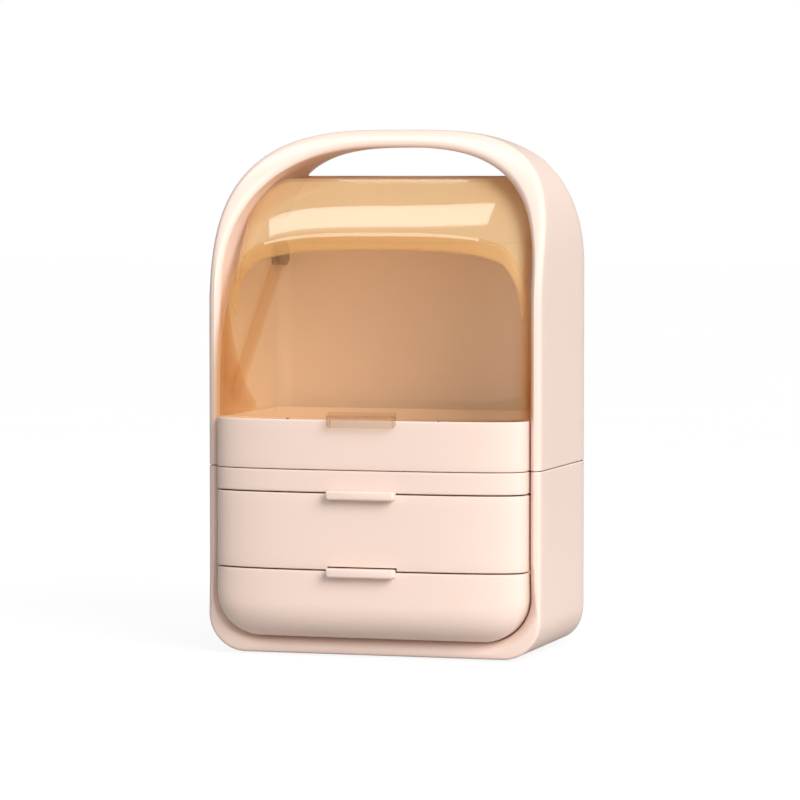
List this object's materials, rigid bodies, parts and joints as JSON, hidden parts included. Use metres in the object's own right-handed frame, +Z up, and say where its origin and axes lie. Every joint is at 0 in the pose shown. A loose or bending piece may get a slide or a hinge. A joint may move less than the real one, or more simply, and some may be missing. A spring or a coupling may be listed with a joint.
{
  "type": "makeup organizer",
  "caption": "Upright makeup organizer: display compartment under a flip-up amber cover, drawers with pull lips below, and an arch-shaped case that is also the carrying handle.",
  "frame": {"origin": "centre of the bounding box's bottom face, on the surface that the feet stand on", "axes": "+Z up, -Y towards the user (the drawers open towards -Y), +X to the right seen from the front"},
  "size_m": [0.266, 0.199, 0.406],
  "materials": {
    "blush_plastic": "satin gloss blush pink moulded plastic",
    "inner_plastic": "satin blush pink moulded plastic",
    "amber_sheet": "clear amber polished sheet",
    "clear_tab": "clear polished plastic",
    "rubber": "matt soft rubber",
    "steel": "zinc-plated screw"
  },
  "bodies": {
    "root": {"lower_case": "blush_plastic", "upper_case": "blush_plastic", "handle_liner": "inner_plastic", "left_liner": "inner_plastic", "right_liner": "inner_plastic", "inner_back_panel": "inner_plastic", "display_tray": "blush_plastic", "canopy": "amber_sheet", "pivot_cap_left": "blush_plastic", "pivot_cap_right": "blush_plastic", "front_rail": "blush_plastic", "drawer_bay": "inner_plastic", "bay_back_panel": "inner_plastic", "drawer_shelf": "inner_plastic", "left_rails": "inner_plastic", "right_rails": "inner_plastic", "drawer_buffers": "rubber", "cover_pads": "rubber", "feet": "rubber", "case_screws": "steel"},
    "cover": {"front_cover": "amber_sheet", "cover_arm_left": "amber_sheet", "cover_arm_right": "amber_sheet", "cover_pull": "clear_tab"},
    "upper_drawer": {"upper_drawer_box": "inner_plastic", "upper_drawer_front": "blush_plastic", "upper_drawer_pull": "blush_plastic"},
    "lower_drawer": {"lower_drawer_box": "inner_plastic", "lower_drawer_front": "blush_plastic", "lower_drawer_pull": "blush_plastic"}
  },
  "joints": [
    {"name": "cover_flip", "type": "hinge", "parent": "root", "child": "cover", "pos_m": [0, 0.0735, 0.3075], "axis": [-1, 0, 0], "range_deg": [0, 48]},
    {"name": "upper_drawer_slide", "type": "slide", "parent": "root", "child": "upper_drawer", "axis": [0, -1, 0], "range_m": [0, 0.11]},
    {"name": "lower_drawer_slide", "type": "slide", "parent": "root", "child": "lower_drawer", "axis": [0, -1, 0], "range_m": [0, 0.11]}
  ]
}
